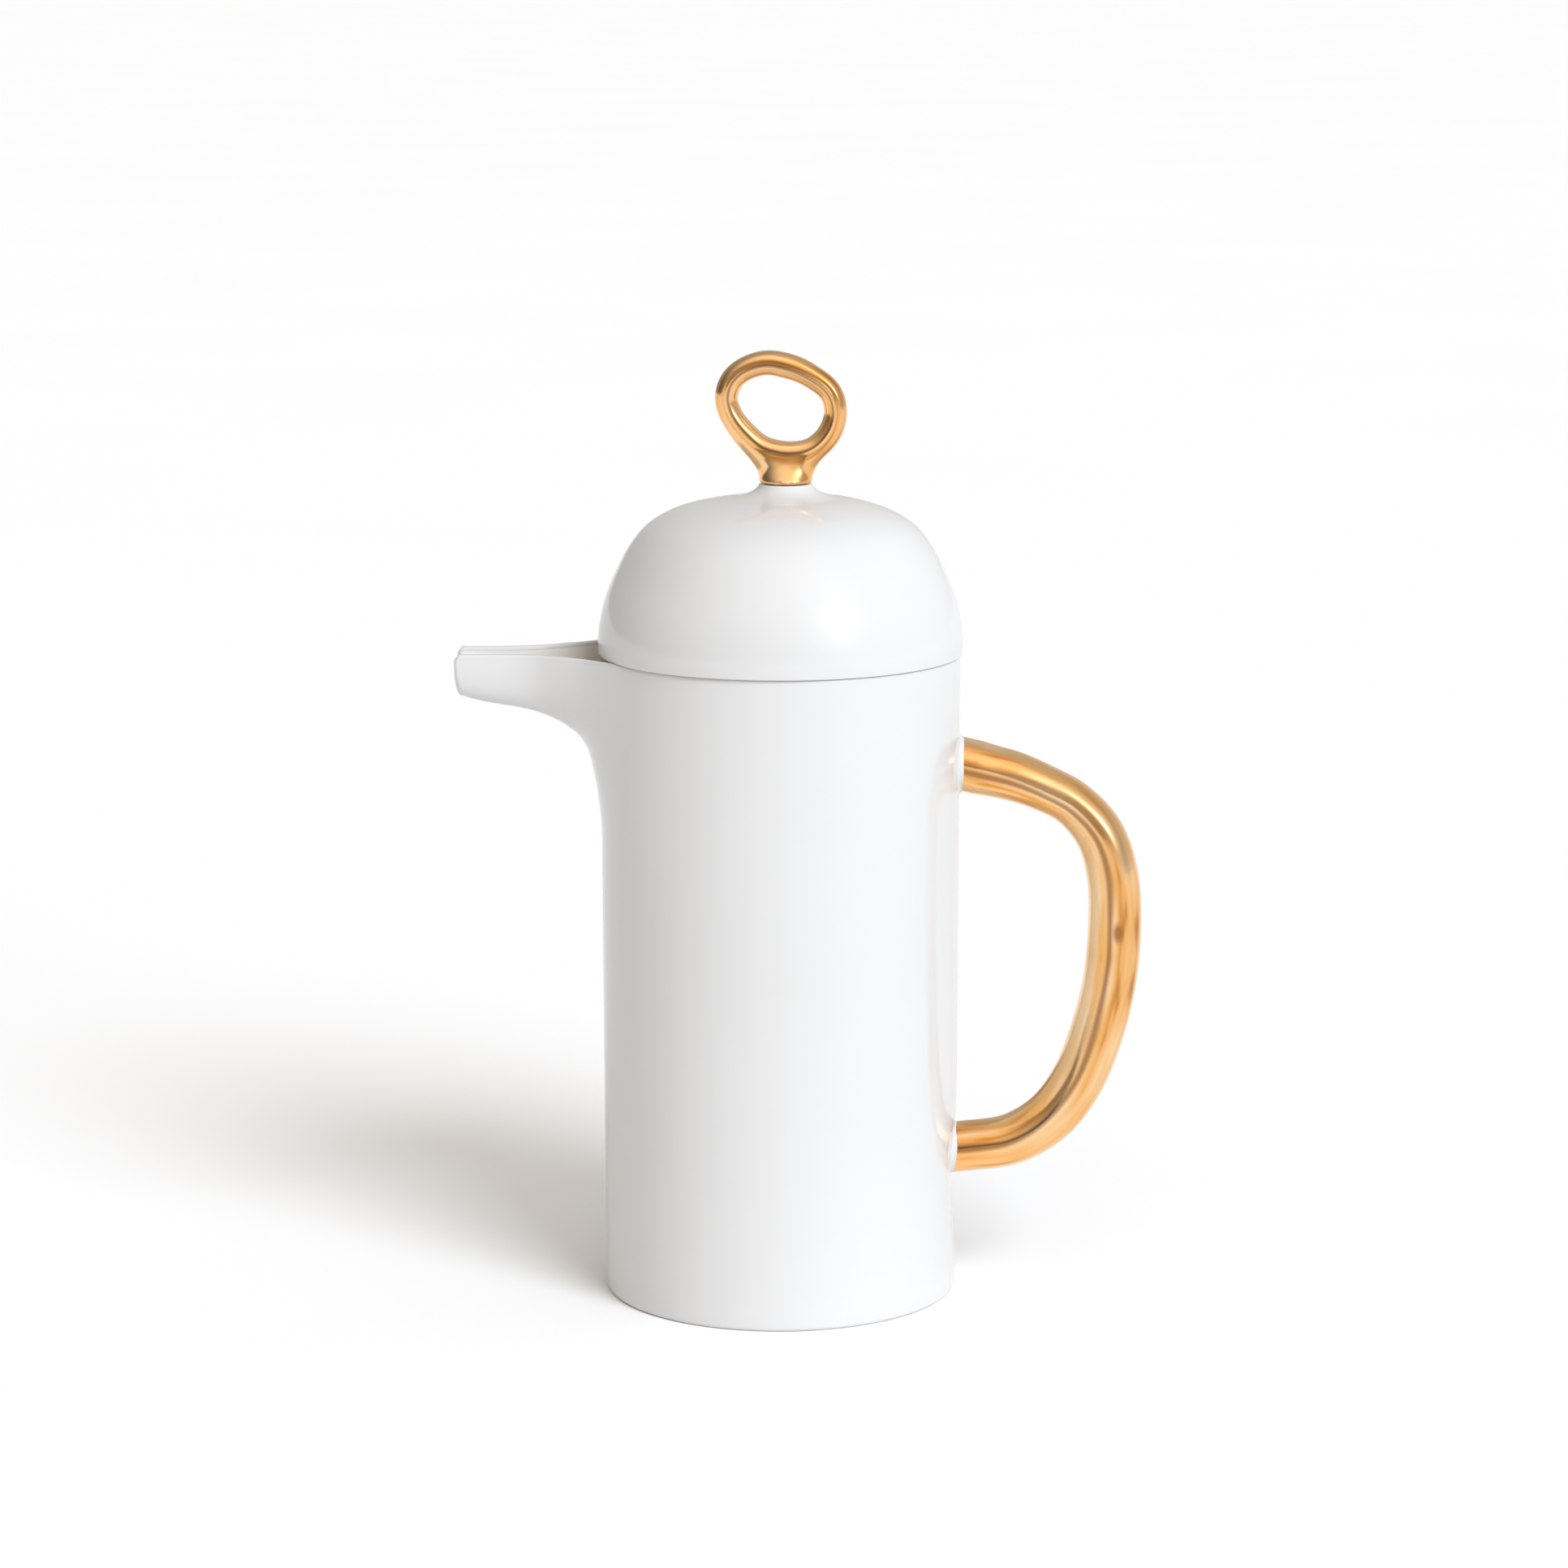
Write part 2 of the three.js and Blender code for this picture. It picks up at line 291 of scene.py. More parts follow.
def arc(radius, z, size, start, end, count):
    """count + 1 points (radius, z) on an arc, from one angle in degrees to another."""
    a = np.radians(np.linspace(start, end, count + 1))
    return np.stack([radius + size * np.cos(a), z + size * np.sin(a)], 1)


def bezier(a, b, c, t):
    """Points on a quadratic curve from a to c that leaves towards b."""
    return (1 - t) ** 2 * a + 2 * t * (1 - t) * b + t**2 * c


def smoothstep(x):
    x = np.clip(x, 0, 1)
    return x * x * (3 - 2 * x)


# ------------------------------------------------------------------ meshes


def mesh_object(name, verts, faces, sharp_angle=None, materials=None):
    """A smooth-shaded object from welded faces, with its normals facing out."""
    mesh = bpy.data.meshes.new(name)
    mesh.from_pydata((verts * MM).tolist(), [], faces)
    if materials:
        mesh.polygons.foreach_set("material_index", materials)
    bm = bmesh.new()
    bm.from_mesh(mesh)
    bmesh.ops.remove_doubles(bm, verts=bm.verts, dist=0.002 * MM)
    bmesh.ops.recalc_face_normals(bm, faces=bm.faces)
    for face in bm.faces:
        face.smooth = True
    if sharp_angle is not None:
        for edge in bm.edges:
            edge.smooth = not edge.is_manifold or edge.calc_face_angle() < sharp_angle
    bm.to_mesh(mesh)
    bm.free()
    obj = bpy.data.objects.new(name, mesh)
    bpy.context.scene.collection.objects.link(obj)
    return obj


def patchwork(name, grids, sharp_angle=None, materials=()):
    """One object from grids of points (rows, columns, xyz) that are welded along shared edges.

    materials gives the material number of each grid, if it isn't 0 all over."""
    verts = []
    faces = []
    numbers = []
    base = 0
    for i, grid in enumerate(grids):
        rows, columns, _ = grid.shape
        verts.append(grid.reshape(-1, 3))
        index = base + np.arange(rows * columns).reshape(rows, columns)
        quads = np.stack([index[:-1, :-1], index[:-1, 1:], index[1:, 1:], index[1:, :-1]], -1)
        faces += quads.reshape(-1, 4).tolist()
        numbers += [materials[i] if materials else 0] * ((rows - 1) * (columns - 1))
        base += rows * columns
    return mesh_object(name, np.vstack(verts), faces, sharp_angle, numbers)


def turned(profile, columns):
    """The grid of a profile of (radius, z) points turned round the Z axis."""
    angle = np.linspace(0, TAU, columns + 1)
    angle[-1] = 0
    radius, z = np.array(profile).T
    x = radius[:, None] * np.cos(angle)
    y = radius[:, None] * np.sin(angle)
    return np.stack([x, y, np.broadcast_to(z[:, None], x.shape)], -1)


# ------------------------------------------------------------------ the pot: beaker and spout


def hand_worked(p):
    """Moves points in or out from the axis: the waves of a hand-worked wall, and the dent."""
    reach = np.hypot(p[..., 0], p[..., 1])
    angle = np.arctan2(p[..., 1], p[..., 0])
    z = p[..., 2]
    wave = sum(
        size * np.sin(count * angle + twist * z + phase) for size, count, twist, phase in WALL_WAVES
    )
    across = (angle / DENT_ANGLE) ** 2
    dent = DENT_DEPTH * np.exp(-(((z - DENT_Z) / DENT_HEIGHT) ** 2) - across)
    shift = (wave - dent) * np.clip(reach / RIM_RADIUS, 0, 1) ** 2
    scale = 1 + shift / np.maximum(reach, 1e-6)
    return np.stack([p[..., 0] * scale, p[..., 1] * scale, z], -1)


def narrowing(z):
    """How much the beaker has narrowed at z, below its rim."""
    return TAPER * (1 - z / RIM_Z)


def spout_side(reach, y, z):
    """The point at y and z on the spout's side of the pot, at a distance from the axis."""
    x = -np.sqrt(np.maximum((reach - narrowing(z)) ** 2 - y**2, 0))
    return np.stack([x, y + 0 * x, z + 0 * x], -1)


def u_section(half, top, low, square, count):
    """Evenly spaced (y, z) points round a U, from its upper edge at -y to the one at +y."""
    a = np.linspace(0, math.pi, 361)
    power = 2 / square
    y = -half * np.sign(np.cos(a)) * np.abs(np.cos(a)) ** power
    z = top - (top - low) * np.sin(a) ** power
    return even(np.stack([y, z], 1), count)


def spout_tables():
    """The outer and inner tables of the spout at the same stations, tip to wall."""
    outside = smooth_line(SPOUT_OUTSIDE)
    inside = smooth_line(SPOUT_INSIDE)
    run = lengths(outside, 3)
    want = np.linspace(0, 1, SPOUT_STATIONS + 1) ** STATION_CROWDING * run[-1]
    row = np.interp(want, run, np.arange(len(run)))
    pick = [np.interp(row, np.arange(len(run)), column) for column in outside.T]
    pick_in = [np.interp(row, np.arange(len(run)), column) for column in inside.T]
    return np.stack(pick, 1), np.stack(pick_in, 1)


SECTION_POINTS = 2 * SIDE_ROWS + SADDLE_BOTTOM


def corner_turn(reach):
    """0 along the spout's edge and 1 at the very tip, over the rounded corner."""
    return np.clip((reach - (TIP_REACH - EDGE_ROUND - LIP_CORNER)) / LIP_CORNER, 0, 1)


def edge_z(reach):
    """Height of the spout's upper edges."""
    return RIM_Z - SPOUT_DROOP * smoothstep((reach - RIM_RADIUS) / (TIP_REACH - RIM_RADIUS))


def lip_depth(z):
    """0 at the upper corners of the tip and 1 at its lowest line."""
    return smoothstep((RIM_Z - LIP_START - z) / LIP_RUN)


def spout_grid(table):
    """The spout's skin: stations from tip to wall, by points round each section."""
    rows = []
    for reach, half, depth, square in table:
        turn = corner_turn(reach)
        top = edge_z(reach) - EDGE_ROUND - LIP_CORNER * (1 - math.sqrt(1 - turn**2))
        section = u_section(half, top, RIM_Z - depth, square, SECTION_POINTS)
        near_tip = np.clip((reach - table[0][0] + TIP_ZONE) / TIP_ZONE, 0, 1) ** 2
        back = near_tip * (LIP_BOW + LIP_THICKENING) * lip_depth(section[:, 1])
        back -= near_tip * LIP_SKEW * section[:, 0]
        rows.append(spout_side(reach - back, section[:, 0], section[:, 1]))
    return np.array(rows)


def saddle_grid(spout, radius):
    """From the end of the spout's skin out to a rectangle on the wall."""
    start = spout[-1]
    half = radius * PATCH_WIDTH
    top = RIM_Z - EDGE_ROUND
    low = RIM_Z - PATCH_DEPTH
    side_z = np.linspace(top, low, SIDE_ROWS + 1)
    across = np.linspace(-half, half, SADDLE_BOTTOM + 1)
    y = np.concatenate([np.full(SIDE_ROWS, -half), across, np.full(SIDE_ROWS, half)])
    z = np.concatenate([side_z[:-1], np.full(SADDLE_BOTTOM + 1, low), side_z[::-1][1:]])
    rows = []
    for k in range(SADDLE_ROWS + 1):
        t = k / SADDLE_ROWS
        y_k = (1 - t) * start[:, 1] + t * y
        z_k = (1 - t) * start[:, 2] + t * z
        rows.append(spout_side(radius, y_k, z_k))
    return np.array(rows)


def wall_grid(saddle, radius):
    """The wall round the rest of the pot, from one side of the saddle to the other."""
    near = saddle[-1][: SIDE_ROWS + 1]
    rows = []
    for point in near:
        start = math.atan2(point[1], point[0])
        angle = np.linspace(start, -start, ROUND_COLUMNS + 1)
        reach = radius - narrowing(point[2])
        rows.append(np.stack([reach * np.cos(angle), reach * np.sin(angle), 0 * angle + point[2]], -1))
    return np.array(rows)


def below_grid(saddle, wall, profile):
    """Rings from the saddle's lower edge down a profile of (radius, z) points."""
    bottom = saddle[-1][SIDE_ROWS : SIDE_ROWS + SADDLE_BOTTOM + 1]
    ring = np.vstack([bottom, wall[-1][::-1][1:]])
    angle = np.arctan2(ring[:, 1], ring[:, 0])
    rows = [ring]
    for radius, z in profile:
        rows.append(np.stack([radius * np.cos(angle), radius * np.sin(angle), 0 * angle + z], -1))
    return np.array(rows)


def outer_profile():
    z = np.linspace(RIM_Z - PATCH_DEPTH, BASE_ROUND, BELOW_ROWS + 1)[1:]
    wall = np.stack([RIM_RADIUS - narrowing(z), z], 1)
    base = RIM_RADIUS - narrowing(BASE_ROUND) - BASE_ROUND
    turn = arc(base, BASE_ROUND, BASE_ROUND, 0, -90, 6)[1:]
    disc = np.array([(base * k, 0) for k in (0.97, 0.93, 0.85, 0.7, 0.5, 0.3, 0.12, 0)])
    return np.vstack([wall, turn, disc])


def inner_profile():
    inner = RIM_RADIUS - WALL
    z = np.linspace(RIM_Z - PATCH_DEPTH, FLOOR + INNER_ROUND, BELOW_ROWS + 1)[1:]
    wall = np.stack([inner - narrowing(z), z], 1)
    corner = inner - narrowing(FLOOR + INNER_ROUND) - INNER_ROUND
    turn = arc(corner, FLOOR + INNER_ROUND, INNER_ROUND, 0, -90, 8)[1:]
    disc = np.array([(corner * k, FLOOR) for k in (0.85, 0.65, 0.45, 0.25, 0.1, 0)])
    return np.vstack([wall, turn, disc])


def rim_grid(outer, inner, table):
    """The rounded edge that joins the outer and inner skins: round the rim and along the spout."""

    def loop(skins):
        spout, saddle, wall = skins
        return np.vstack(
            [
                wall[0][:-1],
                saddle[::-1, -1][:-1],
                spout[::-1, -1][:-1],
                spout[0, ::-1][:-1],
                spout[:, 0][:-1],
                saddle[:, 0],
            ]
        )

    turn = corner_turn(table[:, 0])
    plain = np.zeros(SADDLE_ROWS + 1)
    tilt = np.concatenate(
        [
            np.zeros(ROUND_COLUMNS),
            plain[:-1],
            turn[::-1][:-1],
            np.ones(SECTION_POINTS),
            turn[:-1],
            plain,
        ]
    )
    a = loop(outer)
    b = loop(inner)
    middle = (a + b) / 2
    end = TIP_REACH - LIP_BOW * lip_depth(middle[:, 2]) + LIP_SKEW * middle[:, 1]
    end -= narrowing(middle[:, 2])
    to_end = end - np.hypot(middle[:, 0], middle[:, 1])
    size = (EDGE_ROUND * (1 - tilt) + to_end * tilt)[:, None]
    on_spout = smoothstep((np.hypot(middle[:, 0], middle[:, 1]) - RIM_RADIUS) / EDGE_CHANGE)
    square = (EDGE_SQUARE[0] * (1 - on_spout) + EDGE_SQUARE[1] * on_spout)[:, None]
    out = middle * [1, 1, 0]
    out /= np.linalg.norm(out, axis=1)[:, None]
    rise = np.sqrt(1 - tilt**2)[:, None] * [0, 0, 1] + tilt[:, None] * out
    rows = []
    for k in range(EDGE_ROWS + 1):
        u = math.pi * k / EDGE_ROWS
        across = math.copysign(1, math.cos(u)) * abs(math.cos(u)) ** square
        rows.append(middle + (a - b) / 2 * across + rise * size * math.sin(u) ** square)
    return np.array(rows)


def pot_skins(table, radius, profile):
    spout = spout_grid(table)
    saddle = saddle_grid(spout, radius)
    wall = wall_grid(saddle, radius)
    return (spout, saddle, wall), below_grid(saddle, wall, profile)


# Material numbers of the pot, after 0 for its outside
BARE = 1
INSIDE = 2


def make_pot():
    outside, inside = spout_tables()
    outer, outer_below = pot_skins(outside, RIM_RADIUS, outer_profile())
    inner, inner_below = pot_skins(inside, RIM_RADIUS - WALL, inner_profile())
    rim = rim_grid(outer, inner, outside)
    grids = [*outer, outer_below, *inner, inner_below, rim]
    numbers = [0] * 4 + [INSIDE] * 4 + [0]
    return patchwork("pot_china", [hand_worked(g) for g in grids], materials=numbers)


# ------------------------------------------------------------------ handle

ROD_ATTRIBUTE = "rod"
BRUSH_STROKE = 55.0  # how long the gold's brush marks are, in mm


def mark_rod(obj, line):
    """Stores where each vertex lies on a rod: round it, in two numbers, and along from its middle."""
    place = np.array([v.co for v in obj.data.vertices]) / MM
    gap = place[:, None, [0, 2]] - line[None, :, :2]
    near = np.argmin(np.sum(gap**2, -1), axis=1)
    step = np.gradient(line[:, :2], axis=0)
    step /= np.linalg.norm(step, axis=1)[:, None]
    gap = place[:, [0, 2]] - line[near, :2]
    out = gap[:, 0] * step[near, 1] - gap[:, 1] * step[near, 0]
    around = np.stack([out, place[:, 1]], 1)
    around /= np.maximum(np.linalg.norm(around, axis=1), 1e-6)[:, None]
    run = lengths(line, 2)
    middle = run[-1] / 2
    marks = np.column_stack([around, np.abs(run[near] - middle) / BRUSH_STROKE])
    attribute = obj.data.attributes.new(ROD_ATTRIBUTE, "FLOAT_VECTOR", "POINT")
    attribute.data.foreach_set("vector", marks.ravel())


def rod_rings(line):
    """Rings of points round a rod whose line holds x, z and radius, in the XZ plane."""
    step = np.gradient(line[:, :2], axis=0)
    step /= np.linalg.norm(step, axis=1)[:, None]
    angle = np.linspace(0, TAU, ROD_COLUMNS + 1)
    angle[-1] = 0
    out = line[:, 2:3] * np.cos(angle)
    side = line[:, 2:3] * np.sin(angle)
    x = line[:, 0:1] + out * step[:, 1:2]
    z = line[:, 1:2] - out * step[:, 0:1]
    return np.stack([x, side, z], -1)


def onto_wall(start, direction):
    """Where each point of a ring, moved along a direction, meets the outside of the beaker."""
    move = np.zeros(len(start))
    for _ in range(12):
        p = start + move[:, None] * direction
        angle = np.arctan2(p[:, 1], p[:, 0])
        reach = RIM_RADIUS - narrowing(p[:, 2])
        wall = np.stack([reach * np.cos(angle), reach * np.sin(angle), p[:, 2]], -1)
        wall = hand_worked(wall)
        gap = np.hypot(p[:, 0], p[:, 1]) - np.hypot(wall[:, 0], wall[:, 1])
        move += gap / abs(direction[0])
    return start + move[:, None] * direction


def around(sizes, angle):
    """A size that varies round a rod, from its values at 0, 90 and 180 degrees."""
    first, side, last = sizes
    c = np.cos(angle)
    return side + (first - side) * np.maximum(c, 0) ** 2 + (last - side) * np.minimum(c, 0) ** 2


def collar(ring, direction, flare, white):
    """The white collar between the wall and the gold, and the loop where the gold starts.

    ring is a section of the rod and direction points along it to the wall. flare is how far the
    collar's foot spreads, and white how much of the rod stays white, each at three places."""
    angle = np.linspace(0, TAU, ROD_COLUMNS + 1)
    angle[-1] = 0
    hit = onto_wall(ring, direction)
    ripple = np.sin(3 * angle + 0.6) + 0.6 * np.sin(5 * angle + 2)
    gold = hit - direction * (around(white, angle) + COLLAR_WAVES * ripple)[:, None]
    normal = hit * [1, 1, 0]
    normal /= np.linalg.norm(normal, axis=1)[:, None]
    spread = ring - ring[:-1].mean(0)
    spread -= normal * np.sum(spread * normal, axis=1)[:, None]
    spread /= np.linalg.norm(spread, axis=1)[:, None]
    foot = onto_wall(hit + spread * around(flare, angle)[:, None], direction) - normal * COLLAR_LIP
    rows = [bezier(gold, hit, foot, t) for t in np.linspace(0, 1, COLLAR_ROWS + 1)]
    sunk = foot - normal * COLLAR_SINK
    ends = [np.broadcast_to(loop[:-1].mean(0), loop.shape) for loop in (gold, sunk)]
    return np.array([ends[0], *rows, sunk, ends[1]]), gold


ROOT_X = 52.5  # the handle's own line ends here, and runs straight on to the wall
COLLAR_WAVES = 0.1  # how uneven the gold's edge is
COLLAR_SINK = 0.8  # how far a collar goes into the wall
COLLAR_LIP = 0.03  # how far below the wall's face its foot ends

# Each end of the handle: its last ring and the one before, its name, the flare of the collar's foot
# and the length of rod that stays white, both on the inside of the bend, at the sides and outside.
COLLARS = [
    (0, 1, "root_upper_china", (2.0, 2.2, 1.6), (0.9, 1.65, 1.2)),
    (-1, -2, "root_lower_china", (0.6, 1.4, 0.9), (0.35, 1.6, 0.8)),
]


def make_handle():
    line = smooth_line(ROD_LINE)
    run = lengths(line, 2)
    outside = np.flatnonzero(line[:, 0] > ROOT_X)
    fractions = np.linspace(run[outside[0]], run[outside[-1]], ROD_ROWS) / run[-1]
    rings = rod_rings(along(line, fractions, 2))
    collars = []
    leads = []
    for last, before, name, flare, white in COLLARS:
        ring = rings[last]
        direction = (ring - rings[before])[:-1].mean(0)
        direction /= np.linalg.norm(direction)
        grid, gold = collar(ring, direction, flare, white)
        collars.append(patchwork(name, [grid]))
        cap = np.broadcast_to(gold[:-1].mean(0), gold.shape)
        leads.append([cap] + [gold * (1 - t) + ring * t for t in (0, 0.2, 0.4, 0.6, 0.8)])
    grid = np.array([*leads[0], *rings, *leads[1][::-1]])
    handle = patchwork("handle_gold", [grid], sharp_angle=math.radians(50))
    mark_rod(handle, line)
    return handle, *collars


# ------------------------------------------------------------------ lid


def make_lid():
    top = NECK_TOP_Z
    dome = smooth_line(DOME_LINE)
    dome = dome[dome[:, 0] >= NECK_FOOT_RADIUS]
    neck_start = np.array([NECK_TOP_EDGE[0], top - NECK_TOP_EDGE[1]])
    neck = [
        bezier(neck_start, np.array(NECK_WAIST), dome[0], t) for t in np.linspace(0, 1, NECK_ROWS + 1)
    ]
    seat = RIM_Z + LID_CLEARANCE
    edge = DOME_RADIUS - LID_EDGE_ROUND
    flange_in = FLANGE_RADIUS - FLANGE_THICKNESS
    half = FLANGE_THICKNESS / 2
    outside = [(radius, top - depth) for radius, depth in NECK_TOP]
    lower = [
        *arc(edge, seat + LID_EDGE_ROUND, LID_EDGE_ROUND, 0, -90, 7),
        (45.8, seat),
        (44.9, seat + 0.1),
        (FLANGE_RADIUS, SEAT_Z - 0.9),
        (FLANGE_RADIUS, SEAT_Z - 3.5),
        *arc(FLANGE_RADIUS - half, FLANGE_BOTTOM_Z + half, half, 0, -180, 10),
        (flange_in, FLANGE_BOTTOM_Z + 4),
        (flange_in, SEAT_Z - 2),
        (flange_in, SEAT_Z + 3),
    ]
    inside = even(smooth_line(DOME_INSIDE), DOME_INSIDE_ROWS)
    profile = np.vstack([outside, neck, even(dome, DOME_ROWS)[1:], lower, inside])
    grid = turned(profile, LID_COLUMNS)
    top_rows = len(outside) + len(neck) + OFFSET_ROWS
    reach = profile[:top_rows, 0]
    grid[:top_rows, :, 0] += (FINIAL_X * smoothstep((OFFSET_REACH - reach) / OFFSET_FADE))[:, None]
    reach = np.hypot(grid[..., 0], grid[..., 1])
    angle = np.arctan2(grid[..., 1], grid[..., 0])
    wave = sum(size * np.sin(count * angle + phase) for size, count, phase in DOME_WAVES)
    lift = smoothstep((grid[..., 2] - WAVE_Z) / WAVE_RISE) * smoothstep(reach / WAVE_REACH)
    grid[..., :2] *= (1 + wave * lift / np.maximum(reach, 1e-3))[..., None]
    return patchwork("lid_china", [grid])


# ------------------------------------------------------------------ finial


RING_SAMPLES = 512


def ring_samples(count=RING_SAMPLES, harmonics=12):
    """The finial's closed line, smoothed: x, z, radius and their first and second derivatives."""
    line = smooth_line(RING_LINE, closed=True)
    line = np.vstack([line, line[:1]])
    line = along(line, np.arange(count) / count, 2)
    tone = np.fft.rfft(line, axis=0)
    tone[harmonics:] = 0
    order = 1j * np.arange(len(tone))[:, None] * TAU
    place = np.fft.irfft(tone, count, axis=0)
    slope = np.fft.irfft(tone * order, count, axis=0)
    bend = np.fft.irfft(tone * order**2, count, axis=0)
    return place, slope, bend


RING_PLACE, RING_SLOPE, RING_BEND = ring_samples()


def ring_distance(p):
    """Distance from points to the finial's rod, negative inside."""
    flat = p[:, [0, 2]]
    out = np.empty(len(p))
    for start in range(0, len(p), 4000):
        part = flat[start : start + 4000]
        gap = part[:, None, :] - RING_PLACE[None, :, :2]
        near = np.argmin(np.sum(gap**2, -1), axis=1)
        place, slope, bend = RING_PLACE[near], RING_SLOPE[near], RING_BEND[near]
        speed = np.sum(slope[:, :2] ** 2, -1) - np.sum((part - place[:, :2]) * bend[:, :2], -1)
        move = np.sum((part - place[:, :2]) * slope[:, :2], -1) / np.maximum(speed, 1e-6)
        move = np.clip(move, -1 / RING_SAMPLES, 1 / RING_SAMPLES)[:, None]
        spot = place + move * slope + 0.5 * move**2 * bend
        flat_gap = np.linalg.norm(part - spot[:, :2], axis=1)
        out[start : start + 4000] = np.hypot(flat_gap, p[start : start + 4000, 1]) - spot[:, 2]
    return out


FOOT_BASE_Z = NECK_TOP_Z + 0.25
FOOT_RADIUS = 7.05
FOOT_TOP_Z = 228.3
WEB_Z = 228.2  # where the foot has become a thin web, front to back
WEB_DEPTH = 2.4
FOOT_SPREAD = 0.9  # how much wider the foot gets towards its top
FOOT_SHIFT = 0.4  # and how far it leans to the side
FOOT_SOFT = 0.55  # rounding of its edges
FOOT_FILLET = 3.0  # where the ring runs into the foot
LEG_FILLET = 1.4


def foot_distance(p):
    """Distance from points to the finial's foot, roughly, negative inside."""
    rise = np.clip((p[:, 2] - FOOT_BASE_Z) / (FOOT_TOP_Z - FOOT_BASE_Z), 0, 1)
    wide = FOOT_RADIUS + FOOT_SPREAD * rise**1.5
    web = np.clip((p[:, 2] - FOOT_BASE_Z) / (WEB_Z - FOOT_BASE_Z), 0, 1)
    deep = WEB_DEPTH + (FOOT_RADIUS - WEB_DEPTH) * (1 - web) ** 1.1
    x = p[:, 0] - FINIAL_X - FOOT_SHIFT * rise
    q = np.hypot(x / wide, p[:, 1] / deep)
    slope = np.hypot(x / wide**2, p[:, 1] / deep**2)
    radial = q * (q - 1) / np.maximum(slope, 1e-3)
    radial = np.where(q < 0.2, -deep * 0.9, radial)
    upright = np.maximum(FOOT_BASE_Z - p[:, 2], p[:, 2] - FOOT_TOP_Z)
    u = radial + FOOT_SOFT
    v = upright + FOOT_SOFT
    return np.minimum(np.maximum(u, v), 0) + np.hypot(np.maximum(u, 0), np.maximum(v, 0)) - FOOT_SOFT


# The ring's two arms run on down into the foot: x, z and radius at each end.
LEGS = [
    ((-9.5, 231.0, 2.3), (FINIAL_X - 3.1, FOOT_BASE_Z + 4.1, 3.9)),
    ((10.2, 229.3, 2.3), (FINIAL_X + 3.1, FOOT_BASE_Z + 4.1, 3.9)),
]


def leg_distance(p, ends):
    """Distance from points to a tapering leg, negative inside."""
    (x, z, thick), (low_x, low_z, low_thick) = ends
    run = np.array([low_x - x, low_z - z])
    flat = p[:, [0, 2]] - [x, z]
    t = np.clip(flat @ run / (run @ run), 0, 1)
    gap = flat - t[:, None] * run
    return np.hypot(np.hypot(gap[:, 0], gap[:, 1]), p[:, 1]) - thick - t * (low_thick - thick)


def blended(a, b, size):
    """Two shapes as one, with a fillet of about this size where they meet."""
    h = np.clip(0.5 + 0.5 * (b - a) / size, 0, 1)
    return b * (1 - h) + a * h - size * h * (1 - h)


def finial_field(p):
    """The rod, its legs and the foot, blended where they meet."""
    shape = blended(ring_distance(p), foot_distance(p), FOOT_FILLET)
    for ends in LEGS:
        shape = blended(shape, leg_distance(p, ends), LEG_FILLET)
    return shape


def field_normal(field, p, step=0.02):
    """The direction in which a field grows fastest."""
    slope = np.stack([field(p + step * axis) - field(p - step * axis) for axis in np.eye(3)], 1)
    return slope / np.maximum(np.linalg.norm(slope, axis=1), 1e-9)[:, None]


def onto_surface(field, p, rounds=3):
    """Points moved to where a field is zero."""
    for _ in range(rounds):
        p = p - field_normal(field, p) * field(p)[:, None]
    return p


def surface_net(field, low, high, cell):
    """Vertices and quads of the surface where a field is zero, evened out and moved onto it."""
    axes = [np.arange(a, b + cell, cell) for a, b in zip(low, high)]
    grid = np.stack(np.meshgrid(*axes, indexing="ij"), -1)
    value = field(grid.reshape(-1, 3)).reshape(grid.shape[:3])
    cells = tuple(n - 1 for n in value.shape)
    total = np.zeros((*cells, 3))
    count = np.zeros(cells)
    corners = [(i, j, k) for i in (0, 1) for j in (0, 1) for k in (0, 1)]

    def part(array, corner):
        i, j, k = corner
        return array[i : i + cells[0], j : j + cells[1], k : k + cells[2]]

    for a in corners:
        for axis in range(3):
            if a[axis]:
                continue
            b = tuple(1 if n == axis else a[n] for n in range(3))
            va, vb = part(value, a), part(value, b)
            cross = (va < 0) != (vb < 0)
            t = np.where(cross, va / np.where(cross, va - vb, 1), 0)[..., None]
            spot = part(grid, a) * (1 - t) + part(grid, b) * t
            total += np.where(cross[..., None], spot, 0)
            count += cross
    used = count > 0
    number = np.full(cells, -1)
    number[used] = np.arange(used.sum())
    verts = total[used] / count[used][:, None]
    quads = []
    for axis in range(3):
        u, v = [n for n in range(3) if n != axis]
        ahead = np.roll(value, -1, axis=axis)
        cross = (value < 0) != (ahead < 0)
        spot = np.argwhere(cross)
        fits = (spot[:, axis] < cells[axis]) & (spot[:, u] > 0) & (spot[:, v] > 0)
        fits &= (spot[:, u] < cells[u]) & (spot[:, v] < cells[v])
        spot = spot[fits]
        ring = []
        for du, dv in ((0, 0), (1, 0), (1, 1), (0, 1)):
            s = spot.copy()
            s[:, u] -= du
            s[:, v] -= dv
            ring.append(number[s[:, 0], s[:, 1], s[:, 2]])
        quads.append(np.stack(ring, 1))
    quads = np.vstack(quads)
    verts = onto_surface(field, verts)
    for _ in range(8):
        pull = np.zeros_like(verts)
        weight = np.zeros(len(verts))
        for a, b in ((0, 1), (1, 2), (2, 3), (3, 0)):
            for s, e in ((a, b), (b, a)):
                np.add.at(pull, quads[:, s], verts[quads[:, e]])
                np.add.at(weight, quads[:, s], 1)
        verts = onto_surface(field, verts * 0.5 + 0.5 * pull / weight[:, None], 2)
    return verts, quads.tolist()


